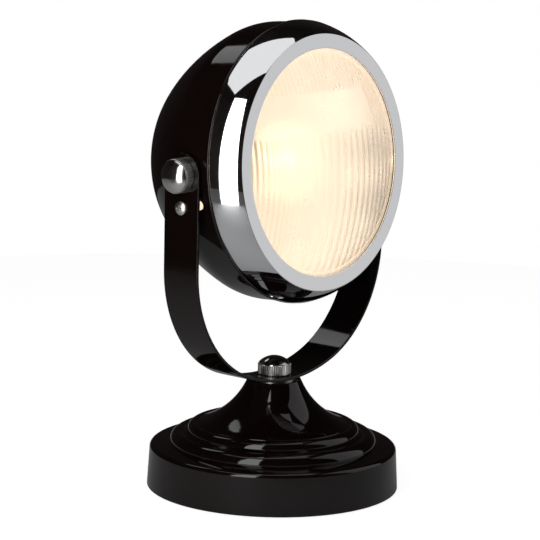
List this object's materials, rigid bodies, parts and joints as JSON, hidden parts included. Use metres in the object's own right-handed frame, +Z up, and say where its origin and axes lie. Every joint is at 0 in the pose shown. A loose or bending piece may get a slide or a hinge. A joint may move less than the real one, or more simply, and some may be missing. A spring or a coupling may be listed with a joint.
{
  "type": "tabletop searchlight lamp",
  "caption": "Tabletop searchlight lamp: a drum head with a domed fluted lens in a bright bezel, tilting in a strip yoke that pans on a weighted stepped base.",
  "frame": {"origin": "centre of the underside, on the plane that the lamp stands on", "axes": "+Z up along the pan axis, the head faces -Y at rest, the tilt axis lies along X"},
  "size_m": [0.1926, 0.1667, 0.2797],
  "materials": {
    "black_enamel": "gloss black stove enamel",
    "chrome": "polished chrome plate",
    "plated_steel": "bright zinc plate",
    "knob_nickel": "nickel plate, knurled grip and plain dome",
    "lens_glass": "clear pressed glass, fluted inside",
    "bulb_glass": "clear blown glass",
    "bulb_insulator": "black vitrite",
    "brass": "plain brass",
    "rubber": "matt black rubber",
    "felt": "dense black felt",
    "cast_weight": "as cast, dipped black",
    "holder_plastic": "moulded dark phenolic"
  },
  "bodies": {
    "base": {"base_shell": "black_enamel", "base_weight": "cast_weight", "base_plate": "plated_steel", "foot_pad": "felt", "plate_screws": "plated_steel", "base_bolt": "plated_steel", "bolt_washer": "plated_steel", "bolt_nut": "plated_steel", "neck_bush": "brass", "neck_washer": "plated_steel"},
    "yoke": {"yoke": "black_enamel", "stop_screw": "plated_steel"},
    "base_knob_washer": {"base_knob_washer": "plated_steel"},
    "base_knob": {"base_knob": "knob_nickel"},
    "head": {"head_shell": "black_enamel", "pivot_spacer_left": "plated_steel", "pivot_spacer_right": "plated_steel", "pivot_saddle_left": "plated_steel", "pivot_saddle_right": "plated_steel", "pivot_stud_left": "plated_steel", "pivot_stud_right": "plated_steel", "lamp_holder": "holder_plastic", "holder_sleeve": "brass", "holder_contact": "brass", "terminal_screws": "plated_steel", "holder_nipple": "brass", "nipple_washer": "plated_steel", "nipple_nut": "brass", "cord_gland": "black_enamel", "gland_cap": "black_enamel"},
    "bezel": {"bezel_ring": "chrome", "bezel_collar": "plated_steel", "bezel_springs": "plated_steel", "lens": "lens_glass", "lens_gasket": "rubber", "lens_retainer": "plated_steel"},
    "bulb": {"bulb_glass": "bulb_glass", "bulb_cap": "brass", "bulb_insulator": "bulb_insulator", "bulb_contact": "brass", "bulb_stem": "bulb_glass", "bulb_filament": "plated_steel"},
    "tilt_washer_left": {"tilt_washer_left": "plated_steel"},
    "tilt_knob_left": {"tilt_knob_left": "knob_nickel"},
    "tilt_washer_right": {"tilt_washer_right": "plated_steel"},
    "tilt_knob_right": {"tilt_knob_right": "knob_nickel"}
  },
  "joints": [
    {"name": "yoke_pan", "type": "hinge", "parent": "base", "child": "yoke", "pos_m": [0, 0, 0.0671], "axis": [0, 0, 1], "continuous": true},
    {"name": "head_tilt", "type": "hinge", "parent": "yoke", "child": "head", "pos_m": [0, 0, 0.196], "axis": [-1, 0, 0], "range_deg": [-30, 45]},
    {"name": "bezel_pull", "type": "slide", "parent": "head", "child": "bezel", "axis": [0, -0.9972, 0.075], "range_m": [0, 0.02]},
    {"name": "bulb_turn", "type": "hinge", "parent": "head", "child": "bulb", "pos_m": [0, 0, 0.196], "axis": [0, -0.9972, 0.075], "continuous": true},
    {"name": "base_knob_rise", "type": "slide", "parent": "base", "child": "base_knob_washer", "axis": [0, 0, 1], "range_m": [0, 0.002]},
    {"name": "base_knob_turn", "type": "hinge", "parent": "base_knob_washer", "child": "base_knob", "pos_m": [0, 0, 0.0684], "axis": [0, 0, 1], "range_deg": [0, 720]},
    {"name": "left_knob_travel", "type": "slide", "parent": "head", "child": "tilt_washer_left", "axis": [-1, 0, 0], "range_m": [0, 0.002]},
    {"name": "left_knob_turn", "type": "hinge", "parent": "tilt_washer_left", "child": "tilt_knob_left", "pos_m": [-0.0854, 0, 0.196], "axis": [-1, 0, 0], "range_deg": [0, 720]},
    {"name": "right_knob_travel", "type": "slide", "parent": "head", "child": "tilt_washer_right", "axis": [1, 0, 0], "range_m": [0, 0.002]},
    {"name": "right_knob_turn", "type": "hinge", "parent": "tilt_washer_right", "child": "tilt_knob_right", "pos_m": [0.0854, 0, 0.196], "axis": [1, 0, 0], "range_deg": [0, 720]}
  ],
  "couplings": [
    {"joint": "base_knob_turn", "follows": "base_knob_rise", "rad_per_m": 6283.2},
    {"joint": "left_knob_turn", "follows": "left_knob_travel", "rad_per_m": 6283.2},
    {"joint": "right_knob_turn", "follows": "right_knob_travel", "rad_per_m": 6283.2}
  ]
}
